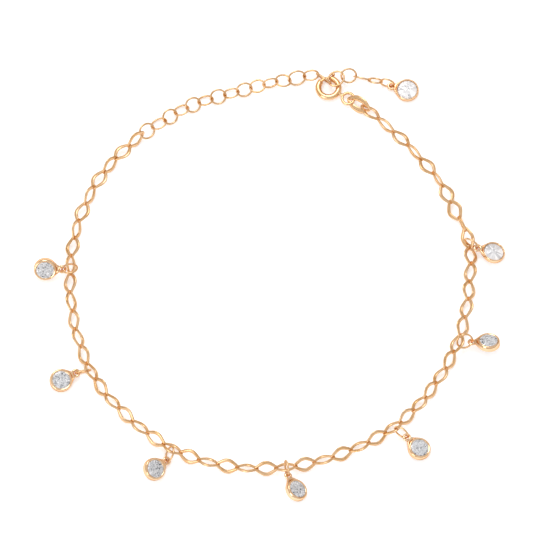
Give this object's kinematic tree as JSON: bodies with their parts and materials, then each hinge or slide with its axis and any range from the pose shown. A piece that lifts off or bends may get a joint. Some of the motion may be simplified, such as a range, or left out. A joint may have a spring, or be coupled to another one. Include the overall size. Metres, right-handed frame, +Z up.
{
  "type": "anklet",
  "caption": "Gold diamond-link anklet with bezel-set stone drops on jump rings, a spring ring clasp and a round-link extender chain.",
  "frame": {"origin": "middle of the footprint, on the plane that the anklet lies on", "axes": "+Z up from that plane, +Y towards the clasp and the extender, +X towards the end drop"},
  "size_m": [0.0989, 0.098, 0.0045],
  "materials": {
    "gold": "polished warm gold plate",
    "clear_stone": "cut and polished, clear"
  },
  "bodies": {
    "anklet": {"link_chain": "gold", "extender_chain": "gold", "clasp_ring": "gold", "clasp_tag": "gold", "drop_1_bezel": "gold", "drop_1_stone": "clear_stone", "drop_1_jump_ring": "gold", "drop_2_bezel": "gold", "drop_2_stone": "clear_stone", "drop_2_jump_ring": "gold", "drop_3_bezel": "gold", "drop_3_stone": "clear_stone", "drop_3_jump_ring": "gold", "drop_4_bezel": "gold", "drop_4_stone": "clear_stone", "drop_4_jump_ring": "gold", "drop_5_bezel": "gold", "drop_5_stone": "clear_stone", "drop_5_jump_ring": "gold", "drop_6_bezel": "gold", "drop_6_stone": "clear_stone", "drop_6_jump_ring": "gold", "drop_7_bezel": "gold", "drop_7_stone": "clear_stone", "drop_7_jump_ring": "gold", "end_drop_bezel": "gold", "end_drop_stone": "clear_stone"},
    "bolt": {"clasp_bolt": "gold"}
  },
  "joints": [
    {"name": "clasp_trigger", "type": "hinge", "parent": "anklet", "child": "bolt", "pos_m": [0.0122, 0.04508, 0.00082], "axis": [0, 0, -1], "range_deg": [0, 60], "stiffness_Nm_per_rad": 0.0004, "springref_deg": -17.19}
  ]
}
